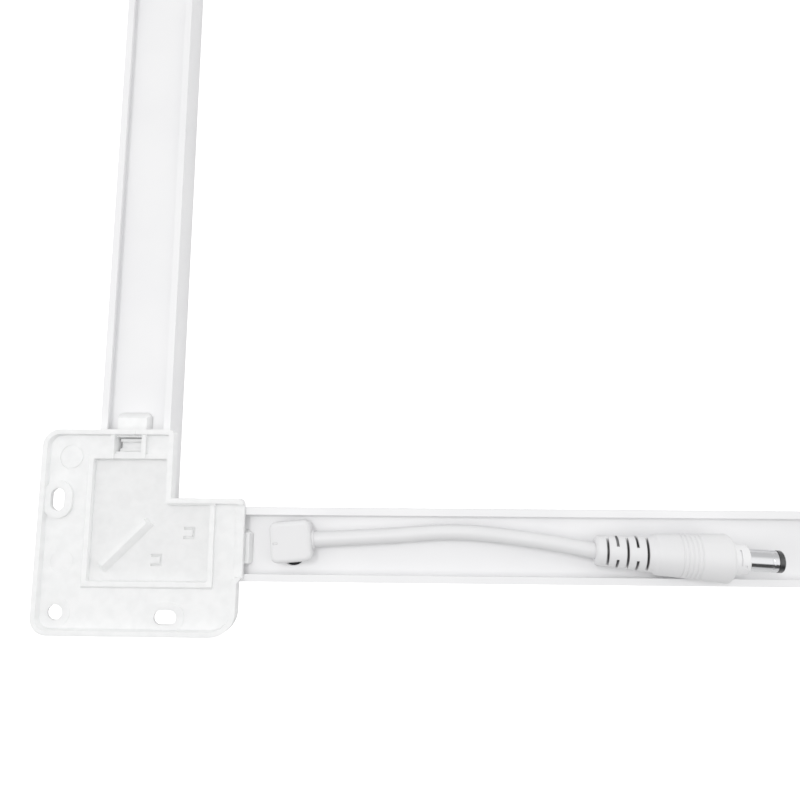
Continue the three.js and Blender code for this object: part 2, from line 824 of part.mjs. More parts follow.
const [bottomSide] = groups;
const outletMesh = piece("lead_outlet", outletBlock(), softWhite, bottomSide);
outletMesh.position.set(outletX, outletY, 0);
const ringMesh = piece("outlet_push_ring", retainingRing(), springSteel, bottomSide);
ringMesh.position.set(
  outletX + outlet.neckDown * Math.sin(outlet.turned),
  outletY - outlet.neckDown * Math.cos(outlet.turned),
  tapeFront - pushRing.thick + board.tape,
);
piece("feed_wire_positive", feed(1), redSleeve, bottomSide);
piece("feed_wire_negative", feed(-1), blackSleeve, bottomSide);
piece("lead_cord", tube(round(lead.radius, lead.sides), leadPoints, 30), softWhite, bottomSide);

const plugGroup = new THREE.Group();
plugGroup.position.set(leadEnd[0] + lead.gap, leadEnd[1], leadEnd[2]);
plugGroup.rotation.set(0, -plug.lifted, plug.turned, "ZYX");
bottomSide.add(plugGroup);
piece("plug_grip", plugGrip(), softWhite, plugGroup);
piece("plug_nose", plugNose(), hardWhite, plugGroup);
piece("plug_sleeve", plugSleeve(), nickel, plugGroup);
piece("plug_insulator", plugInsulator(), blackPlastic, plugGroup);
piece("plug_contact", plugContact(), brass, plugGroup);

export default frame;
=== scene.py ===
"""A slim LED light box frame, lying on its front so that its back shows: four white channels mitred
round an open window, translucent brackets clipped into the corners, and a short lead with a plug."""

import json
import math
from contextlib import contextmanager

import bpy
from mathutils import Matrix, Vector


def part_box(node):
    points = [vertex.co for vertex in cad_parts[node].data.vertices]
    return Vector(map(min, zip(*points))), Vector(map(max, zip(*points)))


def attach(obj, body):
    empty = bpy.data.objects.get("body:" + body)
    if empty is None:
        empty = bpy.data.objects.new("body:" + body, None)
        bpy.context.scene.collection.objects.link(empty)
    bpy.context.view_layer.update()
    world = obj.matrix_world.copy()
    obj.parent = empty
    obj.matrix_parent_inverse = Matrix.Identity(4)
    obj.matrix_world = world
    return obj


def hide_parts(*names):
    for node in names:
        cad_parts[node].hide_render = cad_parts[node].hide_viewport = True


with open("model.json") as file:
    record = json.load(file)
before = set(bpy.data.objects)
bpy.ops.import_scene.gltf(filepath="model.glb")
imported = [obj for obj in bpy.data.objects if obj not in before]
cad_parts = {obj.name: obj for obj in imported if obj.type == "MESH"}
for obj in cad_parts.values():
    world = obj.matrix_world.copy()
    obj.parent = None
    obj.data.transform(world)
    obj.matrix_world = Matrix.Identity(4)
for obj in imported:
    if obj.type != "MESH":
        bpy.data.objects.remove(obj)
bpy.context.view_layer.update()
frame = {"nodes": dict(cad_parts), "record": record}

# ------------------------------------------------------------------ sizes, in millimetres
MM = 0.001

bottom_low, bottom_high = (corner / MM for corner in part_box("channel_bottom"))
left_low, left_high = (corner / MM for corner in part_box("channel_left"))
HALF = Vector((-left_low.x, -bottom_low.y))  # half of the frame's outside, along X and along Y
WIDTH = bottom_high.y - bottom_low.y
DEPTH = bottom_high.z  # front plane to the back lips

WALL, LIP, LIP_THICK = 1.3, 1.9, 0.8
RECESS, WEB = 2.5, 1.2
WEB_BACK = DEPTH - RECESS
WEB_FRONT = WEB_BACK - WEB
STEP_HEIGHT, STEP = 5.6, 0.25
GROOVE_LOW, GROOVE_WIDE, GROOVE_DEEP = 2.0, 1.0, 0.5
MITRE_GAP = 0.3

FLANGE, PLAIN_ARM, SNAP_ARM = 13.5, 40.2, 39.2
ARM_INNER = WIDTH + 2.3
PLATE, RIM_WIDE, RIM_HIGH = 1.6, 1.3, 1.6
PLATE_TOP = DEPTH + PLATE
RIM_TOP = PLATE_TOP + RIM_HIGH
POCKET, POCKET_FLOOR, POCKET_WALL, POCKET_WALL_HIGH = 31.5, 0.9, 1.2, 0.9
PLAIN_TONGUE, SNAP_TONGUE = PLAIN_ARM + 1.7, SNAP_ARM + 5.0  # how far the tongues reach
TONGUE_OUTER, TONGUE_INNER = LIP + 1.9, WIDTH - LIP - 3.9
TONGUE_LOW, TONGUE_TOP = WEB_BACK + 0.2, DEPTH - 0.3
TONGUE_DRAFT, TONGUE_CHAMFER, PLAIN_NOSE, SNAP_NOSE = 0.8, 1.2, 0.6, 1.7
WINDOW_LOW = Vector((TONGUE_OUTER + 1.6, POCKET + 1.9))
WINDOW_HIGH = Vector((TONGUE_INNER - 0.55, POCKET + 5.7))
WINDOW_WALL, FINGER_GAP = 1.1, 0.6
HOLE_RADIUS, HOLE_AT = 1.9, -FLANGE + 5.6
SLOT_WIDE, SLOT_LONG, SLOT_ACROSS, SLOT_ALONG = 3.6, 5.8, -FLANGE + 4.6, 20.8

OUTLET = Vector((PLAIN_ARM + 12.5, WIDTH / 2 + 0.95, 0))
OUTLET_LONG, OUTLET_WIDE, OUTLET_HIGH = 10.6, 10.4, 5.8
OUTLET_TURN = math.radians(5)
LEAD_DIAMETER, LEAD_HEIGHT, LEAD_GAP = 4.0, WEB_BACK + 2.35, 0.3


def at_corner(quarter):
    """Where a corner's own frame stands: its arms along +X and +Y, turned by quarters of a turn."""
    x, y = ((-1, -1), (1, -1), (1, 1), (-1, 1))[quarter]
    place = Matrix.Translation(Vector((x * HALF.x, y * HALF.y, 0)) * MM)
    return place @ Matrix.Rotation(quarter * math.pi / 2, 4, "Z")


BOTTOM = at_corner(0)


# ------------------------------------------------------------------ camera and lead
def add_camera():
    lens = bpy.data.cameras.new("camera")
    lens.lens, lens.sensor_width = 28.8, 36
    lens.clip_start, lens.clip_end = 0.01, 10
    camera = bpy.data.objects.new("camera", lens)
    camera.rotation_mode = "ZYX"
    camera.rotation_euler = [math.radians(degrees) for degrees in (7.23, 1.53, 0.19)]
    camera.location = BOTTOM @ (Vector((85.14, 26.11, 169.54 + DEPTH)) * MM)
    bpy.context.scene.collection.objects.link(camera)
    bpy.context.scene.camera = camera


# The lead's route from the outlet's face, in metres: along X, across Y and up Z.
LEAD_ROUTE = [
    (0, 0, 0), (0.0025, 0.00012, 0), (0.006, 0.00027, -0.00005), (0.0121, 0.00058, -0.00015),
    (0.0173, 0.00088, -0.00023), (0.0225, 0.00122, -0.00027), (0.0277, 0.00166, -0.0003),
    (0.0329, 0.00198, -0.0003), (0.0381, 0.00204, -0.00027), (0.0433, 0.0018, -0.0002),
    (0.0485, 0.00133, -0.00004), (0.0536, 0.00073, 0.00028), (0.0586, 0.0001, 0.00072),
    (0.0636, -0.00062, 0.0012), (0.0677, -0.00134, 0.00157), (0.0702, -0.00177, 0.00177),
    (0.0725, -0.00204, 0.00192),
]
exit_reach = OUTLET_LONG / 2 + LEAD_GAP
LEAD_EXIT = BOTTOM @ (Vector((
    OUTLET.x + exit_reach * math.cos(OUTLET_TURN),
    OUTLET.y + exit_reach * math.sin(OUTLET_TURN),
    LEAD_HEIGHT,
)) * MM)


def add_lead():
    """A round two-core lead as one curve through its route."""
    line = bpy.data.curves.new("lead", "CURVE")
    line.dimensions = "3D"
    line.bevel_depth = LEAD_DIAMETER / 2 * MM
    line.bevel_resolution = 8
    line.resolution_u = 12
    line.use_fill_caps = True
    spline = line.splines.new("BEZIER")
    spline.bezier_points.add(len(LEAD_ROUTE) - 1)
    for point, place in zip(spline.bezier_points, LEAD_ROUTE):
        point.co = LEAD_EXIT + Vector(place)
        point.handle_left_type = point.handle_right_type = "AUTO"
    lead = bpy.data.objects.new("lead", line)
    bpy.context.scene.collection.objects.link(lead)
    return lead


add_camera()
lead = add_lead()


# ------------------------------------------------------------------ modelling tools
def activate(piece):
    bpy.ops.object.select_all(action="DESELECT")
    piece.select_set(True)
    bpy.context.view_layer.objects.active = piece


@contextmanager
def editing(piece, mode):
    """Edit mode on one piece, selecting vertices, edges or faces, with what is picked kept."""
    activate(piece)
    bpy.ops.object.mode_set(mode="EDIT")
    bpy.ops.mesh.select_mode(type=mode)
    yield
    bpy.ops.object.mode_set(mode="OBJECT")


def pick(piece, kind, wanted):
    """Selects the vertices, edges or faces whose points, in millimetres, pass a test."""
    mesh = piece.data
    for parts in (mesh.vertices, mesh.edges, mesh.polygons):
        parts.foreach_set("select", [False] * len(parts))
    chosen = {"VERT": mesh.vertices, "EDGE": mesh.edges, "FACE": mesh.polygons}[kind]
    for part in chosen:
        indices = [part.index] if kind == "VERT" else part.vertices
        if wanted([mesh.vertices[index].co / MM for index in indices]):
            part.select = True
            for index in indices:
                mesh.vertices[index].select = True


def block(low, high):
    """A box between two corners, in millimetres."""
    low, high = Vector(low) * MM, Vector(high) * MM
    bpy.ops.object.select_all(action="DESELECT")
    bpy.ops.mesh.primitive_cube_add(size=1, location=(low + high) / 2, scale=high - low)
    bpy.ops.object.transform_apply(location=True, rotation=True, scale=True)
    return bpy.context.object


def slab(corners, low, high, segments=8):
    """A flat solid whose outline has the given corners, each (x, y) or (x, y, radius)."""
    bpy.ops.object.select_all(action="DESELECT")
    bpy.ops.mesh.primitive_circle_add(vertices=len(corners), fill_type="NGON")
    piece = bpy.context.object
    for vertex, (x, y, *_) in zip(piece.data.vertices, corners):
        vertex.co = Vector((x, y, low)) * MM
    for radius in sorted({corner[2] for corner in corners if len(corner) > 2}):
        places = [Vector((c[0], c[1], low)) for c in corners if len(c) > 2 and c[2] == radius]
        pick(piece, "VERT", lambda points: any((points[0] - p).length < 1e-3 for p in places))
        with editing(piece, "VERT"):
            bpy.ops.mesh.bevel(offset=radius * MM, segments=segments, affect="VERTICES")
    with editing(piece, "FACE"):
        bpy.ops.mesh.select_all(action="SELECT")
        rise = (0, 0, (high - low) * MM)
        bpy.ops.mesh.extrude_region_move(TRANSFORM_OT_translate={"value": rise})
        bpy.ops.mesh.select_all(action="SELECT")
        bpy.ops.mesh.normals_make_consistent(inside=False)
    return piece


def oval(x, y, half_x, half_y, low, high):
    """A slab with fully round ends, or a round one where both halves are equal."""
    radius = min(half_x, half_y) * 0.999
    corners = [
        (x + sx * half_x, y + sy * half_y, radius)
        for sx, sy in ((-1, -1), (1, -1), (1, 1), (-1, 1))
    ]
    return slab(corners, low, high, segments=12)


def combine(piece, tool, operation):
    activate(piece)
    modifier = piece.modifiers.new("combine", "BOOLEAN")
    modifier.operation, modifier.solver, modifier.object = operation, "EXACT", tool
    bpy.ops.object.modifier_apply(modifier=modifier.name)
    bpy.data.objects.remove(tool)
    return piece


def cut(piece, *tools):
    for tool in tools:
        combine(piece, tool, "DIFFERENCE")
    return piece


def join(piece, *tools):
    for tool in tools:
        combine(piece, tool, "UNION")
    return piece


def slice_off(piece, point, normal):
    """Cuts a piece along a plane and keeps the side that the normal points away from."""
    with editing(piece, "VERT"):
        bpy.ops.mesh.select_all(action="SELECT")
        bpy.ops.mesh.bisect(
            plane_co=Vector(point) * MM, plane_no=normal, use_fill=True, clear_outer=True
        )
    return piece


def tidy(piece):
    """Merges what the cuts left doubled and clears edges that lie in one flat face."""
    with editing(piece, "VERT"):
        bpy.ops.mesh.select_all(action="SELECT")
        bpy.ops.mesh.remove_doubles(threshold=0.002 * MM)
        bpy.ops.mesh.dissolve_limited(angle_limit=math.radians(0.5))
        bpy.ops.mesh.select_all(action="SELECT")
        bpy.ops.mesh.normals_make_consistent(inside=False)
    return piece


def shade(piece):
    """Smooth over gentle edges, with the large faces kept flat."""
    activate(piece)
    bpy.ops.object.shade_smooth_by_angle(angle=math.radians(35))
    modifier = piece.modifiers.new("even shading", "WEIGHTED_NORMAL")
    modifier.keep_sharp = True
    bpy.ops.object.modifier_apply(modifier=modifier.name)
    return piece


def soften(piece, width, segments=2, sharper_than=30):
    """Rounds every edge sharper than an angle, as moulding, extruding and coating do."""
    tidy(piece)
    activate(piece)
    modifier = piece.modifiers.new("soften", "BEVEL")
    modifier.width, modifier.segments = width * MM, segments
    modifier.limit_method, modifier.angle_limit = "ANGLE", math.radians(sharper_than)
    modifier.use_clamp_overlap = True
    bpy.ops.object.modifier_apply(modifier=modifier.name)
    return shade(piece)


def turned(profile, sides=96):
    """A closed profile of [distance along X, radius] points, spun about the X axis."""
    bpy.ops.object.select_all(action="DESELECT")
    bpy.ops.mesh.primitive_circle_add(vertices=len(profile), fill_type="NOTHING")
    piece = bpy.context.object
    for vertex, (along, radius) in zip(piece.data.vertices, profile):
        vertex.co = Vector((along, 0, radius)) * MM
    with editing(piece, "VERT"):
        bpy.ops.mesh.select_all(action="SELECT")
        bpy.ops.mesh.spin(steps=sides, angle=2 * math.pi, center=(0, 0, 0), axis=(1, 0, 0))
        bpy.ops.mesh.select_all(action="SELECT")
        bpy.ops.mesh.remove_doubles(threshold=0.001 * MM)
        bpy.ops.mesh.dissolve_degenerate(threshold=0.0005 * MM)
        bpy.ops.mesh.normals_make_consistent(inside=False)
    return piece


def copy_of(piece):
    twin = piece.copy()
    twin.data = piece.data.copy()
    bpy.context.scene.collection.objects.link(twin)
    return twin


def settle(piece, name, place, finish, slot, *nodes):
    """Puts a piece's place into its mesh, names and paints it, and lets it stand for CAD nodes."""
    piece.name = name
    piece.data.name = name
    if piece.type == "MESH":
        piece.data.transform(place)
    piece.data.materials.clear()
    piece.data.materials.append(finish)
    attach(piece, "root")
    if nodes:
        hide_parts(*nodes)
    return piece


# ------------------------------------------------------------------ materials
def srgb(code):
    """A hex colour as linear red, green, blue and alpha."""
    values = [int(code[i:i + 2], 16) / 255 for i in (1, 3, 5)]
    return [v / 12.92 if v <= 0.04045 else ((v + 0.055) / 1.055) ** 2.4 for v in values] + [1]


def add(tree, kind, inputs, **settings):
    """Adds a node with its settings. An input is a value, or a socket to link from."""
    node = tree.nodes.new(kind)
    for name, value in settings.items():
        setattr(node, name, value)
    for name, value in inputs.items():
        if isinstance(value, bpy.types.NodeSocket):
            tree.links.new(value, node.inputs[name])
        else:
            node.inputs[name].default_value = value
    return node


def material(name, shader, *, grain, bump, tint, mottle, patch=20, painted_cut_shade=None):
    """A surface with its own fine relief, and a slow drift of tone.

    In millimetres, grain is the relief's size, bump its depth, and patch how wide a change of
    tone is. mottle is how much of the tint shows at most. The colour given for cuts is painted
    shade: ambient occlusion lays it into cuts too narrow for light to reach, standing in for shadow.
    """
    made = bpy.data.materials.new(name)
    made.use_nodes = True
    tree = made.node_tree
    surface = tree.nodes["Principled BSDF"]
    for socket, value in shader.items():
        surface.inputs[socket].default_value = value
    place = add(tree, "ShaderNodeTexCoord", {}).outputs["Object"]
    relief = add(
        tree, "ShaderNodeTexNoise", {"Vector": place, "Scale": 1 / (grain * MM), "Detail": 3}
    )
    raised = add(
        tree, "ShaderNodeBump",
        {"Height": relief.outputs["Fac"], "Distance": bump * MM, "Strength": 1.0},
    )
    tree.links.new(raised.outputs["Normal"], surface.inputs["Normal"])
    drift = add(
        tree, "ShaderNodeTexNoise", {"Vector": place, "Scale": 1 / (patch * MM), "Detail": 2}
    )
    share = add(
        tree, "ShaderNodeMapRange",
        {"Value": drift.outputs["Fac"], "From Min": 0.35, "From Max": 0.65, "To Max": mottle},
    )
    colour = add(
        tree, "ShaderNodeMix",
        {"Factor": share.outputs["Result"], "A": shader["Base Color"], "B": srgb(tint)},
        data_type="RGBA",
    )
    # painted shade: narrow cuts are darkened towards a dark colour by ambient occlusion, as shadow would darken them
    if painted_cut_shade:
        cut_occlusion = add(
            tree, "ShaderNodeAmbientOcclusion", {"Distance": 1.5 * MM}, only_local=True, samples=8
        )
        painted_shade_share = add(
            tree, "ShaderNodeMapRange",
            {"Value": cut_occlusion.outputs["AO"], "From Min": 0.55, "From Max": 0.3},
        )
        colour = add(
            tree, "ShaderNodeMix",
            {
                "Factor": painted_shade_share.outputs["Result"], "A": colour.outputs["Result"],
                "B": srgb(painted_cut_shade),
            },
            data_type="RGBA",
        )
    tree.links.new(colour.outputs["Result"], surface.inputs["Base Color"])
    return made


def powder_coat():
    """White polyester powder on extruded aluminium: satin, with a faint orange peel."""
    return material(
        "white powder-coated aluminium",
        {"Base Color": srgb("#eeeeef"), "Roughness": 0.38, "IOR": 1.5},
        grain=0.9, bump=0.004, tint="#e7e7e9", mottle=0.6,
    )


def opal_cover():
    """Extruded opal polycarbonate: milky, lets light through, fine matt skin."""
    return material(
        "opal polycarbonate",
        {
            "Base Color": srgb("#f6f6f4"), "Roughness": 0.45, "IOR": 1.58,
            "Transmission Weight": 0.15,
        },
        grain=0.6, bump=0.004, tint="#efefec", mottle=0.5,
    )


def frosted_moulding():
    """Frosted clear polycarbonate, moulded against a spark-eroded steel."""
    return material(
        "frosted polycarbonate",
        {
            "Base Color": srgb("#f7f8f8"), "Roughness": 0.5, "IOR": 1.58,
            "Subsurface Weight": 0.6, "Subsurface Radius": (1, 1, 1), "Subsurface Scale": 0.002,
            "Transmission Weight": 0.06,
        },
        grain=0.5, bump=0.012, tint="#e9eaea", mottle=0.5, patch=3,
    )


def soft_pvc():
    """Soft white PVC, as on the lead and the plug's grip: satin, slightly waxy."""
    return material(
        "soft white PVC",
        {"Base Color": srgb("#e1e1e2"), "Roughness": 0.42, "IOR": 1.53},
        # painted shade in the grip's slits: the dark colour below is laid into narrow cuts in place of shadow
        grain=0.7, bump=0.004, tint="#dbdbdd", mottle=0.6, painted_cut_shade="#2c2c30",
    )


def hard_abs():
    """Hard white ABS, moulded smooth."""
    return material(
        "white ABS",
        {"Base Color": srgb("#ededee"), "Roughness": 0.28, "IOR": 1.54},
        grain=1.2, bump=0.002, tint="#e6e6e8", mottle=0.5,
    )


def nickel_plate():
    """Bright nickel plate on a drawn brass tube."""
    return material(
        "bright nickel plate",
        {"Base Color": srgb("#d5d6d8"), "Roughness": 0.12, "Metallic": 1.0},
        grain=0.5, bump=0.001, tint="#c8c9cc", mottle=0.5,
    )


def black_nylon():
    """Black glass-filled nylon, moulded."""
    return material(
        "black nylon",
        {"Base Color": srgb("#0d0d0f"), "Roughness": 0.3, "IOR": 1.53},
        grain=0.6, bump=0.003, tint="#17171a", mottle=0.5,
    )


def bare_brass():
    """Rolled brass strip, bare."""
    return material(
        "bare brass",
        {"Base Color": srgb("#d9b45f"), "Roughness": 0.25, "Metallic": 1.0},
        grain=0.5, bump=0.002, tint="#c9a04a", mottle=0.6,
    )


def spring_steel():
    """Tempered spring steel, bright rolled."""
    return material(
        "spring steel",
        {"Base Color": srgb("#a9abae"), "Roughness": 0.32, "Metallic": 1.0},
        grain=0.4, bump=0.003, tint="#8f9194", mottle=0.6,
    )


def black_tape():
    """Black acrylic foam tape, open at its edge."""
    return material(
        "black foam tape",
        {"Base Color": srgb("#1a1a1c"), "Roughness": 0.85, "IOR": 1.48},
        grain=0.3, bump=0.03, tint="#242427", mottle=0.6,
    )


def solder_mask():
    """White solder mask over an aluminium-core board."""
    return material(
        "white solder mask",
        {"Base Color": srgb("#f0f0ec"), "Roughness": 0.35, "IOR": 1.52},
        grain=0.8, bump=0.003, tint="#e8e8e2", mottle=0.6,
    )


def wire_pvc(name, code, darker):
    """Thin PVC insulation on a stranded wire."""
    return material(
        name,
        {"Base Color": srgb(code), "Roughness": 0.45, "IOR": 1.53},
        grain=0.4, bump=0.004, tint=darker, mottle=0.6,
    )


FINISH = {
    "channel": powder_coat(),
    "light_cover": opal_cover(),
    "thermal_tape": black_tape(),
    "led_board": solder_mask(),
    "corner_bracket": frosted_moulding(),
    "corner_link": wire_pvc("white wire PVC", "#dededb", "#d2d2ce"),
    "lead_plastic": soft_pvc(),
    "spring_steel": spring_steel(),
    "red_wire": wire_pvc("red wire PVC", "#b0231d", "#951b16"),
    "black_wire": wire_pvc("black wire PVC", "#1b1b1e", "#26262a"),
    "plug_nose": hard_abs(),
    "plug_sleeve": nickel_plate(),
    "plug_insulator": black_nylon(),
    "plug_contact": bare_brass(),
}


# ------------------------------------------------------------------ channels
def mitre(piece, long, gap):
    """Cuts both ends of a straight side at 45 degrees."""
    back = gap * math.sqrt(2)
    slice_off(piece, (back, 0, 0), (-1, 1, 0))
    return slice_off(piece, (long - back, 0, 0), (1, 1, 0))


def channel(long, has_outlet):
    section = block((0, 0, 0), (long, WIDTH, DEPTH))
    reach = (-1, long + 1)

    def groove(y, z):
        cut(section, block((reach[0], y[0], z[0]), (reach[1], y[1], z[1])))

    groove((LIP, WIDTH - LIP), (WEB_BACK, DEPTH + 1))
    groove((WALL, WIDTH - WALL), (WEB_BACK, DEPTH - LIP_THICK))
    groove((WALL, WIDTH - WALL), (-1, WEB_FRONT))
    snap_wide = (WALL - GROOVE_DEEP, WIDTH - WALL + GROOVE_DEEP)
    groove(snap_wide, (GROOVE_LOW, GROOVE_LOW + GROOVE_WIDE))
    for y in ((-1, STEP), (WIDTH - STEP, WIDTH + 1)):
        groove(y, (-1, STEP_HEIGHT))
    far = WINDOW_HIGH.y - FINGER_GAP
    hook = 1.4
    cut(section, block(
        (long - far - MITRE_GAP, WINDOW_LOW.x + 0.3, WEB_FRONT - 1),
        (long - far + hook + MITRE_GAP, WINDOW_HIGH.x - 0.3, WEB_BACK + 0.5),
    ))
    if has_outlet:
        neck = NECK + 0.15
        y = OUTLET.y - NECK_DOWN - SLOT_DOWN / 2
        cut(section, oval(OUTLET.x, y, neck, neck + SLOT_DOWN / 2, WEB_FRONT - 1, WEB_BACK + 0.5))
    mitre(section, long, MITRE_GAP / 2)
    return soften(section, 0.12)


# ------------------------------------------------------------------ light covers
def light_cover(long):
    side, leg, thick, sunk, leg_high, barb = WALL + 0.15, 0.9, 1.3, 0.2, 3.4, 0.35
    cover = block((0, side, sunk), (long, WIDTH - side, leg_high))
    inner = side + leg
    cut(cover, block((-1, inner, sunk + thick), (long + 1, WIDTH - inner, leg_high + 1)))
    low, high = GROOVE_LOW + 0.2, GROOVE_LOW + GROOVE_WIDE - 0.2
    for y in ((side - barb, side + 0.2), (WIDTH - side - 0.2, WIDTH - side + barb)):
        join(cover, block((0, y[0], low), (long, y[1], high)))
    mitre(cover, long, MITRE_GAP / 2 + 0.2)
    return soften(cover, 0.1)


# ------------------------------------------------------------------ corner bracket
def arms(start, width, reach, radius=0.0):
    """The L of a bracket's two arms, as a list of corners."""
    places = [(start, start), (reach, start), (reach, width), (width, width), (width, reach), (start, reach)]
    return [(x, y, radius) for x, y in places] if radius else places


def bracket_plate():
    """The outline, drawn down inside its rim."""
    sharp, big, small = 4.5, 6.5, 1.6
    outline = [
        (-FLANGE, -FLANGE, sharp), (SNAP_ARM, -FLANGE, big), (SNAP_ARM, 0), (PLAIN_ARM, 1),
        (PLAIN_ARM, ARM_INNER, small), (ARM_INNER, ARM_INNER), (ARM_INNER, SNAP_ARM, small),
        (-FLANGE, SNAP_ARM, sharp),
    ]
    plate = slab(outline, DEPTH, RIM_TOP, segments=12)
    pick(plate, "FACE", lambda points: all(abs(p.z - RIM_TOP) < 1e-3 for p in points))
    with editing(plate, "FACE"):
        bpy.ops.mesh.inset(thickness=RIM_WIDE * MM)
        bpy.ops.mesh.extrude_region_move(
            TRANSFORM_OT_translate={"value": (0, 0, -RIM_HIGH * MM)}
        )
        bpy.ops.transform.resize(
            value=(0.99, 0.99, 1), center_override=Vector((13, 13, PLATE_TOP)) * MM
        )
    cut(plate, block((38, 1.3, PLATE_TOP - 0.1), (PLAIN_ARM + 1, ARM_INNER - 1.5, RIM_TOP + 1)))
    return plate


def tongue(end, nose):
    """A wedge along X that slides into the channel's recess, its nose leaning back."""
    wedge = block((POCKET, TONGUE_OUTER, TONGUE_LOW), (end, TONGUE_INNER, TONGUE_TOP))
    middle = (TONGUE_OUTER + TONGUE_INNER) / 2
    half = (TONGUE_INNER - TONGUE_OUTER) / 2
    for vertex in wedge.data.vertices:
        if vertex.co.z > (TONGUE_LOW + 0.1) * MM:
            side = 1 if vertex.co.y > middle * MM else -1
            vertex.co.y = (middle + side * (half - TONGUE_DRAFT)) * MM
            if vertex.co.x > (POCKET + 1) * MM:
                vertex.co.x -= nose * MM
    for side in (-1, 1):
        slice_off(
            wedge,
            (end - TONGUE_CHAMFER, middle + side * half, 0),
            (1, side, 0),
        )
    root = block(
        (POCKET + 0.1, TONGUE_OUTER + TONGUE_DRAFT + 0.6, TONGUE_TOP - 0.5),
        (SNAP_ARM - RIM_WIDE, TONGUE_INNER - TONGUE_DRAFT - 0.6, DEPTH + 0.2),
    )
    return join(wedge, root)


def swapped(piece):
    """The same piece with X and Y changed over."""
    piece.data.transform(Matrix(((0, 1, 0, 0), (1, 0, 0, 0), (0, 0, 1, 0), (0, 0, 0, 1))))
    with editing(piece, "FACE"):
        bpy.ops.mesh.select_all(action="SELECT")
        bpy.ops.mesh.normals_make_consistent(inside=False)
    return piece


def sleeve_border(end):
    """The raised L round the pocket, whose two outer sides slope down to the flange."""
    border = slab(
        arms(-POCKET_WALL, ARM_INNER - 0.02, end), PLATE_TOP - 0.3, PLATE_TOP + POCKET_WALL_HIGH
    )
    for vertex in border.data.vertices:
        if vertex.co.z < PLATE_TOP * MM:
            for axis in (0, 1):
                if vertex.co[axis] < 0:
                    vertex.co[axis] -= 0.8 * MM
    return border


def corner_rib():
    """The rib across the pocket's corner: upright on one side, sloping on the other."""
    start, end = 2.9 * math.sqrt(2), 15.4 * math.sqrt(2)
    crest = DEPTH + POCKET_FLOOR + 1.3
    rib = block((start, -1.9, crest - 1.6), (end, 1.2, crest))
    for vertex in rib.data.vertices:
        if vertex.co.z > (crest - 0.1) * MM:
            if vertex.co.y < 0:
                vertex.co.y = 0.0
            vertex.co.x += (-0.7 if vertex.co.x > (start + 1) * MM else 1.2) * MM
    join(rib, block((start + 0.5, -1, TONGUE_LOW + 0.3), (end - 0.5, 0.9, crest - 1.4)))
    rib.data.transform(Matrix.Rotation(math.pi / 4, 4, "Z"))
    return rib


def screw_hole(x, y, half_x, half_y):
    """A hole through the flange, opened out from below."""
    wider, deep = 0.9, 1.1
    return (
        oval(x, y, half_x, half_y, 0, RIM_TOP + 1),
        oval(x, y, half_x + wider, half_y + wider, 0, DEPTH + deep),
    )


def ring_mark(x, y, radius, deep):
    """The fine circle that an ejector pin leaves."""
    low, high = PLATE_TOP - deep, PLATE_TOP + 1
    ring = oval(x, y, radius, radius, low, high)
    return cut(ring, oval(x, y, radius - 0.35, radius - 0.35, low - 1, high + 1))


def tab_slits(x, y):
    """Three grooves round a small square tab, hinged on its left."""
    half, slit = 1.5, 0.65
    low, high = DEPTH + POCKET_FLOOR - 0.5, PLATE_TOP + 0.5
    return [
        block((x - half, y + half - slit, low), (x + half, y + half, high)),
        block((x - half, y - half, low), (x + half, y - half + slit, high)),
        block((x + half - slit, y - half + 0.1, low), (x + half, y + half - 0.1, high)),
    ]


def snap_finger():
    """The sprung finger in the window: a tongue of plastic with two ridges and a hook below."""
    x0, x1 = WINDOW_LOW.x + FINGER_GAP, WINDOW_HIGH.x - FINGER_GAP
    end = WINDOW_HIGH.y - 0.3
    low = TONGUE_LOW + 0.4
    finger = block((x0, WINDOW_LOW.y - 0.5, low), (x1, end, low + 1.2))
    for y in (WINDOW_LOW.y + 0.1, end - 0.8):
        join(finger, block((x0 + 0.01, y, low + 0.3), (x1 - 0.01, y + 0.79, DEPTH + 0.4)))
    return join(finger, block((x0 + 0.01, end - 1.5, WEB_FRONT + 0.15), (x1 - 0.01, end - 0.3, low + 0.3)))


def collar(x, y, half_x, half_y, high):
    wide = 2.0
    return oval(x, y, half_x + wide, half_y + wide, DEPTH + 0.5, PLATE_TOP + high)


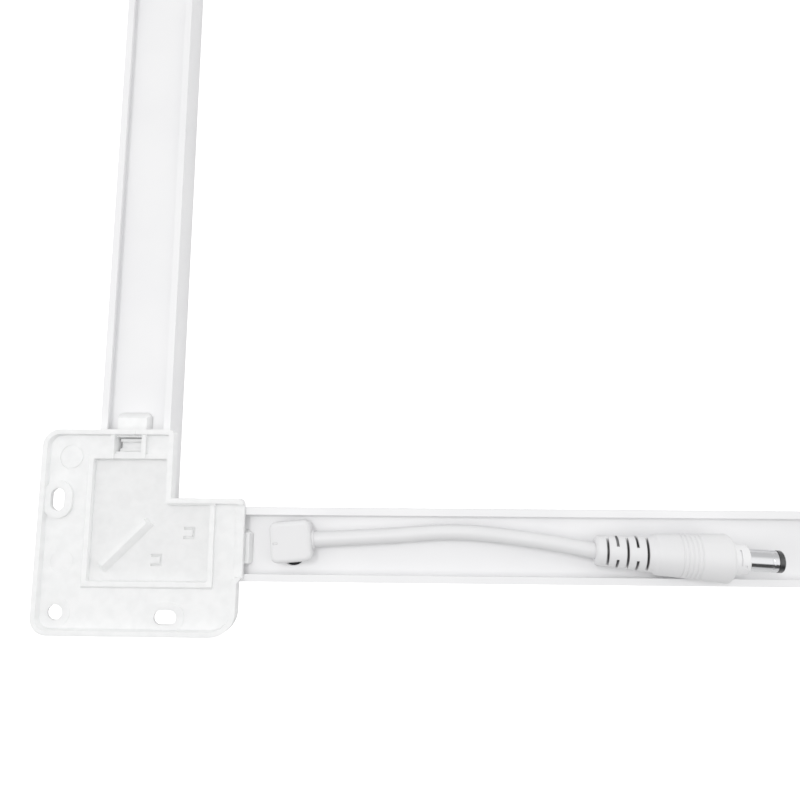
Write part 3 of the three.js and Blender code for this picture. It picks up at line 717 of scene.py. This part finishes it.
def corner_bracket():
    plate = bracket_plate()
    wall_end = POCKET + POCKET_WALL
    join(plate, sleeve_border(wall_end))
    half_wide, half_long = SLOT_WIDE / 2, SLOT_LONG / 2
    join(
        plate,
        collar(SLOT_ACROSS, SLOT_ALONG, half_wide, half_long, 0.9),
        collar(SLOT_ALONG, SLOT_ACROSS, half_long, half_wide, 0.25),
        collar(HOLE_AT, HOLE_AT, HOLE_RADIUS, HOLE_RADIUS, 0.12),
    )
    window_y = (POCKET + 0.01, SNAP_ARM - RIM_WIDE / 2)
    for x in ((WINDOW_LOW.x - WINDOW_WALL, WINDOW_LOW.x), (WINDOW_HIGH.x, WINDOW_HIGH.x + WINDOW_WALL)):
        join(plate, block((x[0], window_y[0], DEPTH + 0.5), (x[1], window_y[1], RIM_TOP - 0.4)))
    cut(plate, ring_mark(-6.2, 31.9, 3.2, 0.25), ring_mark(-6.9, 4.9, 3.1, 0.12))
    join(plate, oval(8.9, SNAP_ARM - 0.75, 2.2, 0.62, RIM_TOP - 0.4, RIM_TOP + 0.2))
    join(plate, tongue(PLAIN_TONGUE, PLAIN_NOSE), swapped(tongue(SNAP_TONGUE, SNAP_NOSE)))
    cut(plate, slab(arms(0, WIDTH + 0.6, POCKET, 0.4), DEPTH + POCKET_FLOOR, RIM_TOP + 1))
    join(plate, corner_rib())
    cut(
        plate,
        *tab_slits(17.5, 5.3),
        *tab_slits(25.8, 12.3),
        block((*WINDOW_LOW, 0), (*WINDOW_HIGH, RIM_TOP + 1)),
        *screw_hole(HOLE_AT, HOLE_AT, HOLE_RADIUS, HOLE_RADIUS),
        *screw_hole(SLOT_ACROSS, SLOT_ALONG, half_wide, half_long),
        *screw_hole(SLOT_ALONG, SLOT_ACROSS, half_long, half_wide),
    )
    join(plate, snap_finger())
    return soften(plate, 0.14)


# ------------------------------------------------------------------ the lead's outlet
NECK, NECK_DOWN, SLOT_DOWN = 3.0, 1.1, 2.3


def lead_outlet():
    """A rounded block over the web, with its neck down through it and a short collar for the lead."""
    half_long, half_wide = OUTLET_LONG / 2, OUTLET_WIDE / 2
    body = slab(
        [(sx * half_long, sy * half_wide, 1.8) for sx, sy in ((-1, -1), (1, -1), (1, 1), (-1, 1))],
        WEB_BACK, WEB_BACK + OUTLET_HIGH,
    )
    soften(body, 1.1, segments=5)
    join(body, oval(0, -NECK_DOWN, NECK, NECK, WEB_FRONT - 1.0, WEB_BACK + 0.5))
    dimple = oval(-half_long + 1.5, -0.1, 0.65, 0.3, WEB_BACK + OUTLET_HIGH - 0.2, WEB_BACK + 9)
    cut(body, dimple)
    sleeve = turned([
        (half_long - 1.5, 0), (half_long - 1.5, 2.45), (half_long + 0.35, 2.45),
        *arc((half_long + 0.4, 2.25), 0.2, 90, 0), (half_long + 0.6, 2.08), (half_long + 0.1, 2.08),
        (half_long + 0.1, 0),
    ])
    sleeve.data.transform(Matrix.Translation(Vector((0, 0, LEAD_HEIGHT)) * MM))
    return shade(join(body, sleeve))


# ------------------------------------------------------------------ the plug
PLUG_TURN, PLUG_LIFT = math.radians(-2.6), math.radians(3.7)
RELIEF_LONG, GRIP_LONG, NOSE_LONG, SLEEVE_LONG, TIP_LONG = 13.0, 19.1, 4.1, 6.9, 1.4
RELIEF_START, RELIEF_END, GRIP_START, GRIP_END = 3.8, 4.5, 5.1, 6.1
GRIP_BACK = RELIEF_LONG + GRIP_LONG
NOSE_STEM, STEM_LONG = 3.3, 4.5
SLEEVE_RADIUS, SLEEVE_WALL = 2.75, 0.3
NOSE_END = GRIP_BACK + NOSE_LONG
SLEEVE_END = NOSE_END + SLEEVE_LONG
TIP_END = SLEEVE_END + 0.15 + TIP_LONG


def plug_place():
    start = LEAD_EXIT + Vector(LEAD_ROUTE[-1]) + Vector((LEAD_GAP * MM, 0, 0))
    turn = Matrix.Rotation(PLUG_TURN, 4, "Z") @ Matrix.Rotation(-PLUG_LIFT, 4, "Y")
    return Matrix.Translation(start) @ turn


def arc(centre, radius, start, end, steps=5):
    """Points of a quarter round, from one angle to another, in degrees."""
    angles = [math.radians(start + (end - start) * i / steps) for i in range(steps + 1)]
    return [(centre[0] + radius * math.cos(a), centre[1] + radius * math.sin(a)) for a in angles]


def grip_radius(along):
    share = (along - RELIEF_LONG - 1.2) / (GRIP_BACK - RELIEF_LONG - 1.2)
    return GRIP_START + share * (GRIP_END - GRIP_START)


def plug_grip():
    """Strain relief and grip in one moulding, with ring grooves where fingers hold it."""
    profile = [(0, 0), (0, 2.08), (-0.6, 2.08), (-0.7, 2.2)]
    profile += arc((0.4, RELIEF_START - 1.1), 1.1, 175, 90)
    profile.append((RELIEF_LONG - 0.3, RELIEF_END))
    blend = [(0.1, 4.53), (0.5, 4.7), (0.9, 4.98), (1.2, grip_radius(RELIEF_LONG + 1.2))]
    profile += [(RELIEF_LONG + along, radius) for along, radius in blend]
    first, pitch, half, deep = RELIEF_LONG + 6.9, 1.08, 0.27, 0.24
    for ring in range(5):
        middle = first + ring * pitch
        for step, share in ((-1, 0), (-0.5, 0.8), (0, 1), (0.5, 0.8), (1, 0)):
            along = middle + step * half
            profile.append((along, grip_radius(along) - share * deep))
    profile += arc((GRIP_BACK - 1.2, GRIP_END - 1.2), 1.2, 85, 0, 7)
    inner = NOSE_STEM + 0.1
    profile += [(GRIP_BACK, inner), (GRIP_BACK - STEM_LONG - 0.1, inner), (GRIP_BACK - STEM_LONG - 0.1, 0)]
    grip = turned(profile)
    for index in range(5):
        cut(grip, relief_slit(index))
    return shade(grip)


def relief_slit(index):
    """A ring-shaped cut, left whole at two opposite bridges that turn a quarter each time."""
    start, wide, deep, bridge = 1.65 + index * 2.39, 0.7, 1.75, 1.6
    inner = RELIEF_START - deep
    ring = turned([(start, inner), (start, 7), (start + wide, 7), (start + wide, inner)], 64)
    half_y, half_z = (bridge, 9) if index % 2 else (9, bridge)
    return cut(ring, block((start - 1, -half_y, -half_z), (start + wide + 1, half_y, half_z)))


def plug_nose():
    """The hard collar round the barrel, with a short key slot and a gate mark on top."""
    back, inner, radius = GRIP_BACK - STEM_LONG, SLEEVE_RADIUS + 0.1, 4.05
    nose = turned([
        (back, inner), (back, NOSE_STEM), (GRIP_BACK + 0.1, NOSE_STEM),
        (GRIP_BACK + 0.1, radius - 0.1), (GRIP_BACK + 0.2, radius), (NOSE_END - 1.1, radius - 0.25),
        *arc((NOSE_END - 0.6, radius - 0.9), 0.6, 85, 0), (NOSE_END, inner),
    ])
    at = GRIP_BACK + 1.5
    slot_ring = turned([(at, radius - 0.6), (at, 6), (at + 0.4, 6), (at + 0.4, radius - 0.6)], 64)
    cut(slot_ring, block((at - 1, -7, -7), (at + 2, 7, 2)), block((at - 1, 2.5, -7), (at + 2, 7, 7)))
    cut(slot_ring, block((at - 1, -7, -7), (at + 2, -1.3, 7)))
    gate = oval(at + 1.2, -1.5, 0.4, 0.4, 3.0, 6)
    cut(nose, slot_ring, gate)
    return shade(nose)


def plug_sleeve():
    back, radius, wall = GRIP_BACK - STEM_LONG + 0.4, SLEEVE_RADIUS, SLEEVE_WALL
    neck = SLEEVE_END - 1.7
    dip = [(neck + 0.09 * i, radius - 0.17 * math.sin(math.pi * i / 8) ** 0.7) for i in range(9)]
    sleeve = turned([
        (back, radius - wall), (back, radius), *dip, (SLEEVE_END - 0.08, radius),
        (SLEEVE_END, radius - 0.08), (SLEEVE_END, radius - wall),
    ])
    return shade(sleeve)


def plug_insulator():
    inside, bore = SLEEVE_RADIUS - SLEEVE_WALL - 0.1, 1.25
    back, face = GRIP_BACK - STEM_LONG + 0.8, SLEEVE_END + 0.15
    tip = turned([
        (back, 0), (back, inside), (face, inside), (face, SLEEVE_RADIUS - 0.08),
        (face + 0.08, SLEEVE_RADIUS), *arc((TIP_END - 0.5, SLEEVE_RADIUS - 0.5), 0.5, 90, 0),
        (TIP_END, bore + 0.25), *arc((TIP_END - 0.25, bore + 0.25), -0.25, 180, 90, 3)[1:],
        (back + 2, bore), (back + 2, 0),
    ])
    return shade(tip)


def plug_contact():
    out = 1.25 - 0.1
    back, front = GRIP_BACK - STEM_LONG + 2.95, TIP_END - 0.9
    contact = turned([
        (back, out - 0.2), (back, out), (front - 0.1, out), (front, out - 0.1), (front, out - 0.2),
    ])
    return shade(contact)


# ------------------------------------------------------------------ assembly
SIDES = (("bottom", 2 * HALF.x), ("right", 2 * HALF.y), ("top", 2 * HALF.x), ("left", 2 * HALF.y))
CORNERS = ("bottom_left", "bottom_right", "top_right", "top_left")

for quarter, (name, long) in enumerate(SIDES):
    node = f"channel_{name}"
    settle(channel(long, name == "bottom"), f"{name}_channel", at_corner(quarter), FINISH["channel"], "channel", node)
    node = f"light_cover_{name}"
    settle(light_cover(long), f"{name}_light_cover", at_corner(quarter), FINISH["light_cover"], "light_cover", node)

bracket = corner_bracket()
for quarter, name in enumerate(CORNERS):
    settle(
        copy_of(bracket), f"{name}_bracket", at_corner(quarter),
        FINISH["corner_bracket"], "corner_bracket", f"corner_bracket_{name}",
    )
bpy.data.objects.remove(bracket)

outlet_place = BOTTOM @ Matrix.Translation(OUTLET * MM) @ Matrix.Rotation(OUTLET_TURN, 4, "Z")
settle(lead_outlet(), "outlet_elbow", outlet_place, FINISH["lead_plastic"], "lead_plastic", "lead_outlet")

settle(lead, "lead", Matrix.Identity(4), FINISH["lead_plastic"], "lead_plastic", "lead_cord")
plug_pieces = [
    settle(make(), name, plug_place(), FINISH[slot], slot, node)
    for make, name, slot, node in (
        (plug_grip, "grip", "lead_plastic", "plug_grip"),
        (plug_nose, "nose", "plug_nose", "plug_nose"),
        (plug_sleeve, "sleeve", "plug_sleeve", "plug_sleeve"),
        (plug_insulator, "insulator", "plug_insulator", "plug_insulator"),
        (plug_contact, "contact", "plug_contact", "plug_contact"),
    )
]

slots = {part["node"]: part["material_slot"] for part in frame["record"]["subparts"]}
for name, node in frame["nodes"].items():
    if not node.hide_render:
        node.data.materials.clear()
        node.data.materials.append(FINISH[slots[name]])


# ------------------------------------------------------------------ floor and light
def add_floor():
    """White paper that shows pure white yet throws back only as much light as paper does."""
    bpy.ops.object.select_all(action="DESELECT")
    bpy.ops.mesh.primitive_plane_add(size=6, location=(0, 0, -0.0002))
    floor = bpy.context.object
    floor.name = "floor"
    paper = bpy.data.materials.new("white paper sweep")
    paper.use_nodes = True
    tree = paper.node_tree
    surface = tree.nodes["Principled BSDF"]
    surface.inputs["Base Color"].default_value = srgb("#e8e8e8")
    surface.inputs["Roughness"].default_value = 0.9
    surface.inputs["Emission Color"].default_value = srgb("#ffffff")
    seen = add(tree, "ShaderNodeLightPath", {}).outputs["Is Camera Ray"]
    tree.links.new(seen, surface.inputs["Emission Strength"])
    floor.data.materials.append(paper)


def add_softbox(name, place, size, power):
    lamp = bpy.data.lights.new(name, "AREA")
    lamp.shape, lamp.size, lamp.energy = "DISK", size, power
    holder = bpy.data.objects.new(name, lamp)
    holder.location = place
    holder.rotation_mode = "QUATERNION"
    holder.rotation_quaternion = (-Vector(place)).to_track_quat("-Z", "Y")
    bpy.context.scene.collection.objects.link(holder)


def add_sky():
    """A white room, brightest overhead, with a dark side towards -Y for the plated barrel."""
    world = bpy.data.worlds.new("studio")
    bpy.context.scene.world = world
    world.use_nodes = True
    tree = world.node_tree
    place = add(tree, "ShaderNodeTexCoord", {}).outputs["Generated"]
    across = add(tree, "ShaderNodeSeparateXYZ", {"Vector": place}).outputs["Y"]
    share = add(
        tree, "ShaderNodeMapRange", {"Value": across, "From Min": -1.0, "From Max": 1.0}
    ).outputs["Result"]
    shade = add(tree, "ShaderNodeValToRGB", {"Fac": share})
    stops = shade.color_ramp.elements
    stops[0].position, stops[0].color = 0.0, (0.03, 0.03, 0.03, 1)
    stops[1].position, stops[1].color = 1.0, (0.3, 0.3, 0.3, 1)
    levels = (
        (0.04, 0.4), (0.08, 0.02), (0.27, 0.02), (0.31, 0.6), (0.42, 0.64), (0.68, 0.6),
        (0.82, 0.32),
    )
    for position, level in levels:
        stops.new(position).color = (level, level, level, 1)
    seen = add(tree, "ShaderNodeLightPath", {}).outputs["Is Camera Ray"]
    backdrop = add(
        tree, "ShaderNodeMix",
        {"Factor": seen, "A": shade.outputs["Color"], "B": (0.5, 0.5, 0.5, 1)},
        data_type="RGBA",
    )
    background = tree.nodes["Background"]
    tree.links.new(backdrop.outputs["Result"], background.inputs["Color"])
    background.inputs["Strength"].default_value = 1.95


add_floor()
add_softbox("key softbox", (-0.22, 0.04, 0.6), 0.12, 0.72)
add_sky()
bpy.context.scene.view_settings.view_transform = "Standard"
bpy.context.scene.view_settings.gamma = 1.4
